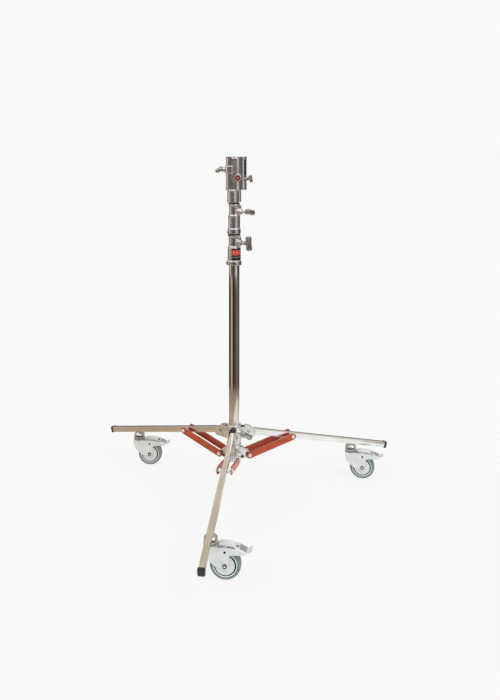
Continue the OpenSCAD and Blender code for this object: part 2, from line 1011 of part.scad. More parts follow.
brake_pedal(left);  // brake_pedal_left
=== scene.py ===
"""Looks of a rolling lighting stand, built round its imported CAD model. Metres, +Z up.

Turned, pressed, cast and moulded parts are rebuilt as finer pieces on the same bodies, and every surface
gets a procedural material. Sizes come from the CAD nodes' boxes and the joints' places. The constants below
and the outlines in the functions are the sizes that those don't give.
"""
import json
import math

import bmesh
import bpy
from mathutils import Matrix, Vector


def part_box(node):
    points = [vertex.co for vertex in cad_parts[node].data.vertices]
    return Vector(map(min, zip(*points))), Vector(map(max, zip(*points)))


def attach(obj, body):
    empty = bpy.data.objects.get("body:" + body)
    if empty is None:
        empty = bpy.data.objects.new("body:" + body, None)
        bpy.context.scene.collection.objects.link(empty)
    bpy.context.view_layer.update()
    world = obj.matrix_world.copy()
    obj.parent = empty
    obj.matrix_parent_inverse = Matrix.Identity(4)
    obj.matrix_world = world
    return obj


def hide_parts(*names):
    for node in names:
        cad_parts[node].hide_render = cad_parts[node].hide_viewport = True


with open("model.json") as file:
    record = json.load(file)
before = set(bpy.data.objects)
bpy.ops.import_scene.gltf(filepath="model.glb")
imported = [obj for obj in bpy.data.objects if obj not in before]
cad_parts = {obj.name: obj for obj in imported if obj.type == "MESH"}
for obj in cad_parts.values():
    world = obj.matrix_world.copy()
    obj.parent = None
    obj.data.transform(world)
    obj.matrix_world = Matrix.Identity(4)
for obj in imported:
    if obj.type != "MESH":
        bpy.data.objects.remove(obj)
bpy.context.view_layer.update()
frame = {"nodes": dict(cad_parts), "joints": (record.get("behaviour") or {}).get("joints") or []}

NODES = frame["nodes"]
JOINTS = {j["name"]: j for j in frame["joints"]}
LEGS = ("front", "right", "left")
MM = 0.001
MICRON = 0.001 * MM

# Walls and small sizes that the CAD boxes don't give
BOOT_SKIRT = 8 * MM
BOOT_SLACK = 0.05 * MM
COLUMN_WALL = 1.5 * MM
RISER_WALL = 1.6 * MM
LEG_WALL = 1.6 * MM
NUT_HEIGHT = 4.4 * MM
HEAD_HEIGHT = 4.2 * MM
SCREW_PITCH = 1.5 * MM
CUP_HEIGHT = 128 * MM
TUBE_STEP = 0.12

# Small screws: heights on the column's axis, and the way that the two single ones face
COLLAR_SCREWS_Z = 0.18
COLUMN_SCREW_Z = 0.92
RISER_SCREW_Z = 1.037
SCREW_AZIMUTH = math.radians(185)

# A castor's crest, which is the fork's upper edge with the pedal's roof on it, by distance behind the stem.
# It falls away from its top by CREST_BEND times the distance squared.
CREST_START, CREST_TOP, CREST_END = 27 * MM, 48 * MM, 118 * MM
CREST_HEIGHT = 114.5 * MM
CREST_BEND = 4.6
CREST_DROP = 4.5 * MM
ROOF_HALF, ROOF_END = 17.5 * MM, 85 * MM

# Camera, round the column's axis
CAMERA_AZIMUTH = 8.18
CAMERA_REACH = 2.7264
CAMERA_HEIGHT = 1.3548
CAMERA_PITCH = 4.0
CAMERA_LENS = 37.41
CAMERA_SHIFT = (0.0226, -0.2162)

# Light, as the brightness of a white surface
PAPER = 0.947
SKY = 0.66
FLOOR_RADIUS = 1.3


# ---- shader graphs ----

class Graph:
    """A node tree, with short calls for the nodes that the surfaces and the studio share."""

    def __init__(self, owner):
        owner.use_nodes = True
        self.tree = owner.node_tree

    def add(self, kind, links=None, **settings):
        node = self.tree.nodes.new(kind)
        for key, value in settings.items():
            setattr(node, key, value)
        for key, value in (links or {}).items():
            self.feed(node.inputs[key], value)
        return node

    def feed(self, socket, value):
        if isinstance(value, bpy.types.NodeSocket):
            self.tree.links.new(value, socket)
        else:
            socket.default_value = value

    def span(self, value, low, high, start=0.3, end=0.7):
        """value, stretched from start..end to low..high and held there."""
        links = {"Value": value, "From Min": start, "From Max": end, "To Min": low, "To Max": high}
        return self.add("ShaderNodeMapRange", links).outputs["Result"]

    def math(self, operation, a, b=0.0):
        return self.add("ShaderNodeMath", {0: a, 1: b}, operation=operation).outputs[0]

    def blend(self, share, a, b):
        node = self.add("ShaderNodeMix", {"Factor": share}, data_type="RGBA")
        for socket, colour in ((node.inputs[6], a), (node.inputs[7], b)):
            self.feed(socket, colour if isinstance(colour, bpy.types.NodeSocket) else (*colour, 1.0))
        return node.outputs[2]


class Surface(Graph):
    """A material's node tree, with its principled shader and the object's own coordinates."""

    def __init__(self, name):
        self.material = bpy.data.materials.new(name)
        super().__init__(self.material)
        self.shader = self.tree.nodes["Principled BSDF"]
        self.place = self.add("ShaderNodeTexCoord").outputs["Object"]

    def noise(self, scale, detail=3.0, stretch=None):
        where = self.place
        if stretch:
            where = self.add("ShaderNodeMapping", {"Vector": where, "Scale": stretch}).outputs["Vector"]
        links = {"Vector": where, "Scale": scale, "Detail": detail, "Roughness": 0.6}
        return self.add("ShaderNodeTexNoise", links).outputs["Fac"]

    def height(self, value):
        """Raises the surface by value, in metres, on top of any height it already has."""
        bump = self.add("ShaderNodeBump", {"Height": value, "Distance": 1.0, "Strength": 1.0})
        below = self.shader.inputs["Normal"]
        if below.is_linked:
            self.feed(bump.inputs["Normal"], below.links[0].from_socket)
        self.feed(below, bump.outputs["Normal"])

    def set(self, **sockets):
        for key, value in sockets.items():
            self.feed(self.shader.inputs[key.replace("_", " ")], value)


def surface(name, dark, light, rough, metal=0.0, patch=60.0, grain=900.0, depth=30 * MICRON, stretch=None,
            fleck=0.0):
    """A finish with clouded colour, uneven gloss and a fine grain. rough is its range of roughness."""
    g = Surface(name)
    cloud = g.noise(patch, 4.0)
    colour = g.blend(g.span(cloud, 0.0, 1.0), dark, light)
    if fleck:
        dust = g.span(g.noise(1700.0, 2.0), 0.0, fleck, 0.62, 0.72)
        colour = g.blend(dust, colour, tuple(min(1.0, c + 0.22) for c in light))
    fine = g.noise(grain, 3.0, stretch)
    gloss = g.math("ADD", g.span(cloud, rough[0], rough[1], 0.35, 0.75), g.span(fine, -0.02, 0.02))
    g.set(Base_Color=colour, Roughness=gloss, Metallic=metal)
    g.height(g.span(fine, 0.0, depth))
    return g


def chrome(name, dark, light, along):
    """Polished plate with drawing lines along the tube, wiping marks and a few fine scratches."""
    g = surface(name, dark, light, (0.05, 0.12), 1.0, 14.0, 700.0, 2 * MICRON, along)
    scratch = g.noise(260.0, 6.0, tuple(a * 3.0 if a < 1.0 else a for a in along))
    g.height(g.span(scratch, 0.0, 4 * MICRON, 0.66, 0.7))
    return g.material


def plated_casting(name, dark, light, rough):
    """Die casting with orange peel and pores."""
    g = surface(name, dark, light, rough, 1.0, 45.0, 520.0, 4 * MICRON)
    pits = g.add("ShaderNodeTexVoronoi", {"Vector": g.place, "Scale": 420.0}).outputs["Distance"]
    g.height(g.span(pits, -5 * MICRON, 0.0, 0.02, 0.1))
    return g.material


def painted(name, dark, light, bare):
    """Semi-gloss paint, chipped to bare metal along its worn edges."""
    g = surface(name, dark, light, (0.32, 0.46), 0.0, 30.0, 1100.0, 15 * MICRON, fleck=0.25)
    edge = g.add("ShaderNodeNewGeometry").outputs["Pointiness"]
    worn, broken = g.span(edge, 0.0, 1.0, 0.54, 0.6), g.span(g.noise(240.0, 5.0), 0.0, 1.0, 0.5, 0.56)
    chip = g.math("MULTIPLY", worn, broken)
    colour = g.shader.inputs["Base Color"].links[0].from_socket
    g.set(Base_Color=g.blend(chip, colour, bare), Metallic=chip, Specular_IOR_Level=0.35, Coat_Weight=0.12,
          Coat_Roughness=0.15)
    return g.material


def banded_print(name, low, high):
    """A wrap printed with plain bands and blocks between two heights, with no words or marks."""
    g = surface(name, (0.008, 0.008, 0.009), (0.02, 0.02, 0.02), (0.24, 0.36), 0.0, 120.0, 1500.0, 8 * MICRON)
    parts = g.add("ShaderNodeSeparateXYZ", {"Vector": g.place}).outputs
    rise = g.span(parts["Z"], 0.0, 1.0, low, high)
    turn = g.math("ARCTAN2", parts["Y"], parts["X"])

    def between(value, start, end):
        return g.math("MULTIPLY", g.math("GREATER_THAN", value, start), g.math("LESS_THAN", value, end))

    black = g.shader.inputs["Base Color"].links[0].from_socket
    red_cloud = g.blend(g.span(g.noise(90.0), 0.0, 1.0), (0.58, 0.035, 0.02), (0.78, 0.07, 0.045))
    blocks = g.math("LESS_THAN", g.math("FRACT", g.math("MULTIPLY", turn, 1.9)), 0.42)
    window = g.math("MULTIPLY", blocks, between(rise, 0.5, 0.8))
    red = g.blend(g.math("MULTIPLY", window, 0.35), red_cloud, (0.75, 0.5, 0.4))
    colour = g.blend(between(rise, 0.42, 0.86), black, red)
    dashes = g.math("LESS_THAN", g.math("FRACT", g.math("MULTIPLY", turn, 4.6)), 0.55)
    line = g.math("MULTIPLY", dashes, between(rise, 0.22, 0.31))
    colour = g.blend(g.math("MULTIPLY", line, 0.55), colour, (0.6, 0.6, 0.58))
    g.set(Base_Color=colour, Coat_Weight=0.5, Coat_Roughness=0.12)
    return g.material


def moulded(name, dark, light, rough, depth=40 * MICRON):
    return surface(name, dark, light, rough, 0.0, 40.0, 800.0, depth, fleck=0.12).material


UPRIGHT = (1.0, 1.0, 0.03)
MAT = {
    "column": chrome("chrome_column", (0.62, 0.58, 0.54), (0.8, 0.77, 0.74), UPRIGHT),
    # The three legs are one chrome in two tints. The warm tint of the front and left legs and the paler,
    # cooler tone of the right leg are painted reflections of the studio round them.
    "leg_painted_warm_reflection": chrome("chrome_leg_painted_warm_reflection", (0.66, 0.62, 0.58), (0.8, 0.76, 0.71), (0.25, 0.25, 1.0)),
    "leg_painted_cool_reflection": chrome("chrome_leg_painted_cool_reflection", (0.8, 0.8, 0.79), (0.92, 0.92, 0.91), (0.25, 0.25, 1.0)),
    "cast": plated_casting("cast_chrome", (0.6, 0.6, 0.61), (0.8, 0.8, 0.82), (0.2, 0.32)),
    "cast_pale": plated_casting("cast_pale", (0.68, 0.68, 0.68), (0.88, 0.88, 0.88), (0.28, 0.42)),
    "handle": plated_casting("handle_alloy", (0.32, 0.325, 0.315), (0.52, 0.525, 0.51), (0.34, 0.5)),
    "zinc": surface("bright_zinc", (0.68, 0.7, 0.69), (0.78, 0.8, 0.79), (0.34, 0.46), 0.15, 35.0, 950.0,
                    4 * MICRON).material,
    "zinc_grey": surface("passivated_zinc", (0.4, 0.4, 0.39), (0.62, 0.62, 0.61), (0.24, 0.4), 0.8, 80.0,
                         depth=8 * MICRON).material,
    "bolt": surface("bolt_zinc", (0.5, 0.49, 0.46), (0.72, 0.71, 0.68), (0.22, 0.36), 1.0, 130.0, 1400.0,
                    12 * MICRON).material,
    "black_steel": surface("black_steel", (0.01, 0.01, 0.011), (0.03, 0.03, 0.032), (0.3, 0.45), 0.6,
                           160.0).material,
    "orange": painted("orange_paint", (0.37, 0.044, 0.011), (0.52, 0.068, 0.017), (0.55, 0.52, 0.48)),
    "rubber": moulded("black_rubber", (0.002, 0.002, 0.002), (0.009, 0.009, 0.009), (0.72, 0.88)),
    "plastic": moulded("black_plastic", (0.007, 0.007, 0.008), (0.02, 0.02, 0.021), (0.36, 0.5)),
    "nylon": moulded("nylon", (0.6, 0.58, 0.5), (0.74, 0.72, 0.66), (0.4, 0.5)),
    "rim": moulded("rim_plastic", (0.78, 0.8, 0.81), (0.88, 0.9, 0.9), (0.3, 0.42)),
    "tyre": moulded("tyre_rubber", (0.14, 0.18, 0.2), (0.23, 0.28, 0.3), (0.5, 0.65), 60 * MICRON),
    "tread": moulded("pedal_pad", (0.26, 0.26, 0.28), (0.42, 0.42, 0.44), (0.45, 0.6)),
    "spigot": surface("turned_steel", (0.5, 0.48, 0.45), (0.68, 0.66, 0.62), (0.14, 0.24), 1.0, 60.0, 900.0,
                      6 * MICRON, (0.05, 0.05, 6.0)).material,
    "badge": surface("badge_enamel", (0.03, 0.003, 0.002), (0.05, 0.005, 0.004), (0.16, 0.26),
                     patch=200.0).material,
    "badge_pale": surface("badge_pale", (0.42, 0.17, 0.15), (0.56, 0.26, 0.23), (0.2, 0.3), 0.2,
                          200.0).material,
    "label": banded_print("label_print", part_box("column_label")[0].z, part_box("column_label")[1].z),
}


# ---- frames ----

def frame_at(origin, out):
    """A frame at origin with +X along out and +Z as near up as that lets it be."""
    x = Vector(out).normalized()
    y = Vector((0, 0, 1)).cross(x).normalized()
    turn = Matrix((x, y, x.cross(y))).transposed().to_4x4()
    return Matrix.Translation(Vector(origin)) @ turn


def place_of(joint):
    return Vector(JOINTS[joint]["pos_m"])


def axis_frame(joint):
    return frame_at(place_of(joint), JOINTS[joint]["axis"])


def points_in(node, at):
    """A CAD node's points, as a frame has them."""
    back = at.inverted()
    return [back @ v.co for v in NODES[node].data.vertices]


def extent(node, at, reach=math.inf):
    """A CAD node's lowest and highest corner in a frame, from its points within reach of the origin."""
    local = [p for p in points_in(node, at) if p.length < reach]
    return [Vector([pick(p[i] for p in local) for i in range(3)]) for pick in (min, max)]


def castor_frame(leg):
    """On the floor under the stem, with +X along the trail and +Y along the axle."""
    stem, wheel = (place_of(j + leg) for j in ("swivel_", "roll_"))
    return frame_at((stem.x, stem.y, 0), (wheel.x - stem.x, wheel.y - stem.y, 0))


HUB_PIVOT = place_of("hub_lift")


def leg_frame(leg):
    """At the hub pivot, with +X down the leg."""
    knee = place_of("knee_" + leg)
    out = Vector((knee.x, knee.y, 0)).normalized()
    pivot = out * Vector((HUB_PIVOT.x, HUB_PIVOT.y)).length + Vector((0, 0, HUB_PIVOT.z))
    return frame_at(pivot, knee - pivot)


def across(at):
    """The same place, with +Z along the frame's +Y: the way bolts and wheels lie."""
    return at @ Matrix.Rotation(math.radians(-90), 4, "X")


def along(at):
    """The same place, with +Z along the frame's +X: the way screws lie."""
    return at @ Matrix.Rotation(math.radians(90), 4, "Y")


def pin_frame(joint, at):
    """At a joint's place in a castor's frame, with +Z along the pin."""
    return across(at @ Matrix.Translation(at.inverted() @ place_of(joint)))


# ---- shapes ----

def mm(outline, r=0.0, z=0.0, way=1):
    """An outline given in millimetres from (r, z), and mirrored in z where way is -1."""
    return [(r + a * MM, way * (z + b * MM)) for a, b in outline]


def rod(radius, start, end):
    """A plain cylinder's outline."""
    return [(0, start), (radius, start), (radius, end), (0, end)]


def rounded(points, radius, closed=False, steps=4):
    """A line of 2-D points with its corners eased."""
    made, count = [], len(points)
    for i, (x, y) in enumerate(points):
        if not closed and i in (0, count - 1):
            made.append((x, y))
            continue
        here = Vector((x, y))
        before, after = (Vector(points[(i + s) % count]) - here for s in (-1, 1))
        cut = min(radius, 0.45 * before.length, 0.45 * after.length)
        a, b = here + before.normalized() * cut, here + after.normalized() * cut
        for s in range(steps + 1):
            t = s / steps
            made.append(tuple(a * (1 - t) ** 2 + here * 2 * t * (1 - t) + b * t ** 2))
    return made


def turned(bm, at, outline, steps=48, ring=False, shape=None, mark=0):
    """A solid turned about the frame's +Z from (radius, height) points. A ring's outline closes on itself.
    shape(angle, radius, height) may change the radius round the turn, as for a hexagon or a thread."""
    rows = []
    for r, z in outline:
        if r < 1e-7:
            rows.append([bm.verts.new(at @ Vector((0, 0, z)))])
            continue
        row = []
        for i in range(steps):
            angle = math.tau * i / steps
            reach = shape(angle, r, z) if shape else r
            row.append(bm.verts.new(at @ Vector((reach * math.cos(angle), reach * math.sin(angle), z))))
        rows.append(row)
    faces = []
    for a, b in zip(rows, rows[1:] + ([rows[0]] if ring else [])):
        for i in range(steps):
            j = (i + 1) % steps
            if len(a) == 1:
                faces.append(bm.faces.new((a[0], b[j], b[i])))
            elif len(b) == 1:
                faces.append(bm.faces.new((a[i], a[j], b[0])))
            else:
                faces.append(bm.faces.new((a[i], a[j], b[j], b[i])))
    if not ring:
        faces += [bm.faces.new(row) for row in (rows[0], rows[-1]) if len(row) > 1]
    for face in faces:
        face.material_index = mark


def hexagon(across_flats):
    """A hexagon's radius round the turn, where the outline's own radius isn't smaller."""
    def shape(angle, r, z):
        flat = across_flats / 2 / math.cos((angle + math.pi / 6) % (math.pi / 3) - math.pi / 6)
        return min(flat, r)
    return shape


def nut(bm, at, flats, z0, z1, mark=0, bore=0.0):
    """A chamfered hexagon from z0 to z1."""
    corner = flats / math.sqrt(3)
    cut = (corner - flats / 2) * 0.9
    low, high = min(z0, z1), max(z0, z1)
    rows = [(bore, low), (corner - cut, low), (corner, low + cut * 0.6), (corner, high - cut * 0.6),
            (corner - cut, high), (bore, high)]
    sides = hexagon(flats)
    turned(bm, at, rows, 72, bore > 0, lambda a, r, z: r if r <= bore else sides(a, r, z), mark)


def thread(bm, at, radius, z0, z1, pitch, mark=0, steps=28):
    """A threaded rod: its radius rises and falls once a pitch, and the crest climbs round the turn."""
    rows = max(4, round((z1 - z0) / pitch * 6))

    def cut(angle, r, z):
        share = (z / pitch - angle / math.tau) % 1.0
        return r - abs(share * 2 - 1) * pitch * 0.42

    heights = [z0 + (z1 - z0) * i / rows for i in range(rows + 1)]
    turned(bm, at, [(0, z0)] + [(radius, z) for z in heights] + [(0, z1)], steps, shape=cut, mark=mark)


def prism(bm, at, outline, low, high, mark=0):
    """An outline in the frame's X and Z, given thickness along Y."""
    sides = [[bm.verts.new(at @ Vector((x, y, z))) for x, z in outline] for y in (low, high)]
    faces = [bm.faces.new(sides[0]), bm.faces.new(sides[1][::-1])]
    count = len(outline)
    for i in range(count):
        j = (i + 1) % count
        faces.append(bm.faces.new((sides[0][j], sides[0][i], sides[1][i], sides[1][j])))
    for face in faces:
        face.material_index = mark


def box_outline(width, height, radius, steps=6):
    """A rectangle with round corners, centred."""
    w, h = width / 2, height / 2
    return [(cx * (w - radius) + radius * math.cos(t), cy * (h - radius) + radius * math.sin(t))
            for cx, cy, start in ((1, 1, 0), (-1, 1, 90), (-1, -1, 180), (1, -1, 270))
            for t in (math.radians(start + 90 * i / steps) for i in range(steps + 1))]


def loft(bm, sections, closed_loop=False, mark=0):
    """Joins rings of points, each the same length, into one closed skin."""
    rows = [[bm.verts.new(p) for p in ring] for ring in sections]
    count = len(rows[0])
    pairs = list(zip(rows, rows[1:])) + ([(rows[-1], rows[0])] if closed_loop else [])
    for a, b in pairs:
        for i in range(count):
            j = (i + 1) % count
            bm.faces.new((a[i], a[j], b[j], b[i])).material_index = mark
    if not closed_loop:
        for row in (rows[0], rows[-1]):
            bm.faces.new(row).material_index = mark


def ball(bm, centre, radius, mark=0):
    made = bmesh.ops.create_uvsphere(bm, u_segments=20, v_segments=12, radius=radius,
                                     matrix=Matrix.Translation(centre))
    for face in {f for v in made["verts"] for f in v.link_faces}:
        face.material_index = mark


# ---- pieces ----

def mesh_of(name, bm):
    mesh = bpy.data.meshes.new(name)
    bm.to_mesh(mesh)
    bm.free()
    return mesh


def placed(name, data):
    """A new object in the scene."""
    made = bpy.data.objects.new(name, data)
    bpy.context.scene.collection.objects.link(made)
    return made


def piece(name, bm, body, materials, stands_for=(), crease=35.0):
    """Makes a finished piece of a bmesh: normals, creases, materials and body, and hides the CAD nodes that
    it stands for.
    """
    bmesh.ops.remove_doubles(bm, verts=bm.verts[:], dist=1e-7)
    bmesh.ops.recalc_face_normals(bm, faces=bm.faces[:])
    for edge in bm.edges:
        edge.smooth = edge.is_manifold and edge.calc_face_angle(0.0) < math.radians(crease)
    for face in bm.faces:
        face.smooth = True
    mesh = mesh_of(name, bm)
    for layer in ("custom_normal", "sharp_face"):
        if layer in mesh.attributes:
            mesh.attributes.remove(mesh.attributes[layer])
    for key in materials:
        mesh.materials.append(MAT[key])
    made = placed(name, mesh)
    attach(made, body)
    if stands_for:
        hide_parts(*stands_for)
    return made


def cad_copy(node):
    """A CAD node's mesh, welded and with its flat faces whole."""
    bm = bmesh.new()
    bm.from_mesh(NODES[node].data)
    bmesh.ops.remove_doubles(bm, verts=bm.verts[:], dist=1e-6)
    bmesh.ops.dissolve_limit(bm, angle_limit=math.radians(0.5), verts=bm.verts[:], edges=bm.edges[:])
    return bm


def ease_edges(bm, width, least=28.0):
    """Rounds every edge sharper than least degrees, as pressing and tumbling do."""
    hard = [e for e in bm.edges if e.is_manifold and e.calc_face_angle(0.0) > math.radians(least)]
    bmesh.ops.bevel(bm, geom=hard, offset=width, segments=2, profile=0.5, affect="EDGES", clamp_overlap=True)


def weighted(made):
    """Keeps flat faces flat between eased edges."""
    normals = made.modifiers.new("flat_faces", "WEIGHTED_NORMAL")
    normals.keep_sharp = True


def cast(name, bm, body, materials, stands_for=(), grid=0.8 * MM, melt=7, keep=0.35):
    """Fuses the shells of a bmesh into one skin with the soft corners of a casting."""
    for face in bm.faces:
        face.material_index = 0
    bmesh.ops.triangulate(bm, faces=bm.faces[:])
    holder = placed(name + "_rough", mesh_of(name + "_rough", bm))
    skin = holder.modifiers.new("skin", "REMESH")
    skin.mode, skin.voxel_size, skin.adaptivity = "VOXEL", grid, 0.0
    soft = holder.modifiers.new("melt", "SMOOTH")
    soft.factor, soft.iterations = 0.5, melt
    lean = holder.modifiers.new("lean", "DECIMATE")
    lean.ratio = keep
    bpy.context.view_layer.update()
    done = holder.evaluated_get(bpy.context.evaluated_depsgraph_get()).to_mesh()
    fused = bmesh.new()
    fused.from_mesh(done)
    bpy.data.objects.remove(holder)
    piece(name, fused, body, materials, stands_for, crease=70.0)


def restyle(node, key):
    for held in NODES[node].material_slots:
        held.material = MAT[key]


# ---- column and risers ----

def tube(name, node, body, wall):
    """A drawn tube with its ends deburred."""
    low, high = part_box(node)
    r = high.x
    corners = [(r - wall, low.z), (r, low.z), (r, high.z), (r - wall, high.z)]
    outline = rounded(corners, 0.5 * MM, True, 3)
    rows = []
    for a, b in zip(outline, outline[1:] + outline[:1]):
        steps = max(1, round(abs(b[1] - a[1]) / TUBE_STEP))
        rows += [(a[0] + (b[0] - a[0]) * s / steps, a[1] + (b[1] - a[1]) * s / steps) for s in range(steps)]
    bm = bmesh.new()
    turned(bm, Matrix.Identity(4), rows, 96, ring=True)
    piece(name, bm, body, ["column"], [node])


def wiper(name, node, body, bore):
    """A rubber ring with a soft lip against the riser."""
    low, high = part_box(node)
    r, tall = high.x, high.z - low.z
    lip = 0.28 * tall
    waist = r - 1.2 * MM
    outline = [(bore, low.z), (r, low.z), (r, low.z + 0.55 * tall), (waist, low.z + 0.62 * tall),
               (waist, high.z - 0.2 * tall), (r - 2.4 * MM, high.z), (bore + lip, high.z),
               (bore, high.z - lip)]
    bm = bmesh.new()
    turned(bm, Matrix.Identity(4), rounded(outline, 0.6 * MM, True, 3), 96, ring=True)
    piece(name, bm, body, ["rubber"], [node])


def small_screw(bm, at, radius, start, end, slot_depth):
    """A round head with a hexagon recess, outward from start to end along the frame's +Z."""
    tall = end - start
    rows = [(0, start), (radius, start), (radius, start + 0.6 * tall), (radius * 0.86, start + 0.9 * tall),
            (radius * 0.7, end), (radius * 0.5, end), (radius * 0.48, end - slot_depth),
            (0, end - slot_depth)]
    recess = hexagon(radius * 0.9)
    turned(bm, at, rows, 36, shape=lambda a, r, z: recess(a, r, z) if r < radius * 0.55 else r)


def upright(azimuth, height):
    """A frame on the column's axis, with +X out at an azimuth."""
    return frame_at((0, 0, height), (math.cos(azimuth), math.sin(azimuth), 0))


tube("column_sleeve", "column_tube", "column", COLUMN_WALL)
tube("riser_1_sleeve", "riser_1_tube", "riser_1", RISER_WALL)
tube("riser_2_sleeve", "riser_2_tube", "riser_2", RISER_WALL)
wiper("column_wiper", "column_gasket", "column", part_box("riser_1_tube")[1].x + 0.2 * MM)
wiper("riser_1_wiper", "riser_1_gasket", "riser_1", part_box("riser_2_tube")[1].x + 0.2 * MM)


# ---- castings ----

def seam(bm, azimuth, r, low, high):
    """The raised line that a mould's halves leave."""
    root, proud = r - MM, r + 0.45 * MM
    outline = rounded([(root, low), (proud, low), (proud, high), (root, high)], 0.2 * MM, True, 2)
    prism(bm, upright(azimuth, 0), outline, -0.35 * MM, 0.35 * MM)


def casting(node, name, body, key, seams=()):
    bm = cad_copy(node)
    for azimuth, r, low, high in seams:
        seam(bm, azimuth, r, low, high)
    cast(name, bm, body, [key], [node])


SEAM_AZIMUTH = math.radians(58)


def ring_seams(node, r, share_low, share_high):
    """A seam on each side of a turned casting, over a share of its height."""
    low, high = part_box(node)
    span = high.z - low.z
    ends = low.z + share_low * span, low.z + share_high * span
    return [(azimuth, r, *ends) for azimuth in (SEAM_AZIMUTH, SEAM_AZIMUTH + math.pi)]


column_seams = ring_seams("column_clamp", 20.5 * MM, 0.64, 0.92)
riser_seams = ring_seams("riser_1_clamp", 22.1 * MM, 0.22, 0.58)
casting("column_clamp", "column_clamp_casting", "column", "cast", column_seams)
casting("riser_1_clamp", "riser_1_clamp_casting", "riser_1", "cast", riser_seams)
casting("head_casting", "head_shell", "riser_2", "cast")
casting("hub_collar", "hub_casting", "hub", "cast_pale")
casting("lower_collar", "lower_collar_casting", "column", "cast_pale")


# ---- T-handles ----

def bar_sections(at, centre, half, wide):
    """Rings along a T-handle's bar: waisted in the middle, full near the ends, and rounded off."""
    rings = []
    for s in (-1.0, -0.97, -0.9, -0.78, -0.6, -0.4, -0.2, 0.0, 0.2, 0.4, 0.6, 0.78, 0.9, 0.97, 1.0):
        cap = math.sqrt(max(0.0, 1.0 - max(0.0, (abs(s) - 0.8) / 0.2) ** 2.4)) * 0.55 + 0.45
        waist = 0.8 + 0.2 * min(1.0, (abs(s) / 0.55) ** 2)
        thick = wide * cap * (0.86 + 0.14 * waist)
        ring = []
        for i in range(28):
            a = math.tau * i / 28
            x, z = (math.copysign(abs(f(a)) ** 0.72, f(a)) for f in (math.cos, math.sin))
            ring.append(at @ Vector((centre + x * thick, s * half, z * wide * cap * waist)))
        rings.append(ring)
    return rings


def t_handle(place, screw_r):
    """A cast bar with thumb hollows on a flared neck, turned as the CAD's is, and its threaded screw."""
    node, body, name = "t_handle_" + place, "handle_" + place, f"handle_{place}_knob"
    at = axis_frame("turn_handle_" + place)
    low, high = extent(node, at)
    outer = [p for p in points_in(node, at) if p.x > high.x - 9 * MM]
    turn = 0.5 * math.atan2(2 * sum(p.y * p.z for p in outer), sum(p.y * p.y - p.z * p.z for p in outer))
    bar_at = at @ Matrix.Rotation(turn, 4, "X")
    bar_points = points_in(node, bar_at)
    half = max(p.y for p in bar_points)
    wide = max(p.z for p in bar_points if p.x > high.x - 12 * MM)
    centre = high.x - wide
    foot = centre - wide - 7.5 * MM
    bm = bmesh.new()
    loft(bm, bar_sections(bar_at, centre, half, wide))
    neck = [(0, foot), (screw_r + 3.0 * MM, foot), (screw_r + 3.2 * MM, foot + 2 * MM),
            (screw_r + 1.6 * MM, foot + 3.5 * MM), (screw_r + 1.8 * MM, centre - wide),
            (screw_r + 4.2 * MM, centre - 0.45 * wide), (screw_r + 3 * MM, centre), (0, centre)]
    turned(bm, along(at), neck, 36)
    cast(name, bm, body, ["handle"], [node], grid=0.55 * MM, melt=5, keep=0.3)
    screw = bmesh.new()
    thread(screw, along(at), screw_r, low.x, foot + MM, SCREW_PITCH)
    bore, rim = screw_r - 0.4 * MM, screw_r + 3.6 * MM
    washer = [(bore, foot - 1.6 * MM), (rim, foot - 1.6 * MM), (rim, foot), (bore, foot)]
    turned(screw, along(at), rounded(washer, 0.3 * MM, True, 2), 36, ring=True)
    piece(name + "_screw", screw, body, ["bolt"])


for place in ("column", "riser", "socket", "spigot", "hub"):
    t_handle(place, 4 * MM if place == "spigot" else 5 * MM)


# ---- head details ----

def spigot_pin():
    """Slider and stepped pin, turned, with a chamfered top and a centre hole."""
    low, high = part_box("spigot")
    centre = (low + high) / 2
    r, pin, groove = (high.x - low.x) / 2, 7.95 * MM, 6.4 * MM
    step, top = low.z + 47.5 * MM, high.z
    outline = [(0, low.z), (r - MM, low.z), (r, low.z + MM), (r, step - MM), (r - MM, step),
               (pin + 1.2 * MM, step), (pin, step + 1.2 * MM), (pin, top - 22 * MM),
               (groove, top - 20.5 * MM), (groove, top - 13.5 * MM), (pin, top - 12 * MM),
               (pin, top - 2 * MM), (6.6 * MM, top), (1.6 * MM, top), (0, top - 0.9 * MM)]
    bm = bmesh.new()
    turned(bm, Matrix.Translation((centre.x, centre.y, 0)), rounded(outline, 0.5 * MM, False, 3), 64)
    piece("spigot_pin", bm, "spigot", ["spigot"], ["spigot"])


def badge():
    """A plain enamel ring round a domed centre."""
    low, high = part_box("head_badge")
    r = (high.z - low.z) / 2
    across_head = place_of("turn_handle_spigot") - place_of("turn_handle_socket")
    at = along(frame_at((low + high) / 2, (across_head.y, -across_head.x, 0)))
    near, face = (pick(p.z for p in points_in("head_badge", at)) for pick in (min, max))
    rim, field, dot = 0.8 * r, 0.77 * r, 0.42 * r
    bed, sunk, glaze = face - 0.9 * MM, face - 0.7 * MM, face - 0.45 * MM
    base = [(0, near), (r, near), (r, face - 0.3 * MM), (0.9 * r, face), (rim, face - 0.1 * MM),
            (field, sunk), (0, sunk)]
    enamel = [(dot, bed), (field, bed), (field - 0.3 * MM, glaze), (dot + 0.3 * MM, glaze)]
    dome = [(0, bed), (dot, bed), (0.9 * dot, face - 0.4 * MM), (0.5 * dot, face - 0.15 * MM), (0, face)]
    bm = bmesh.new()
    turned(bm, at, rounded(base, 0.3 * MM, False, 3), 72, mark=1)
    turned(bm, at, enamel, 72, ring=True)
    turned(bm, at, dome, 48, mark=1)
    piece("head_badge_ring", bm, "riser_2", ["badge", "badge_pale"], ["head_badge"])


spigot_pin()
badge()


# ---- fasteners of the base ----

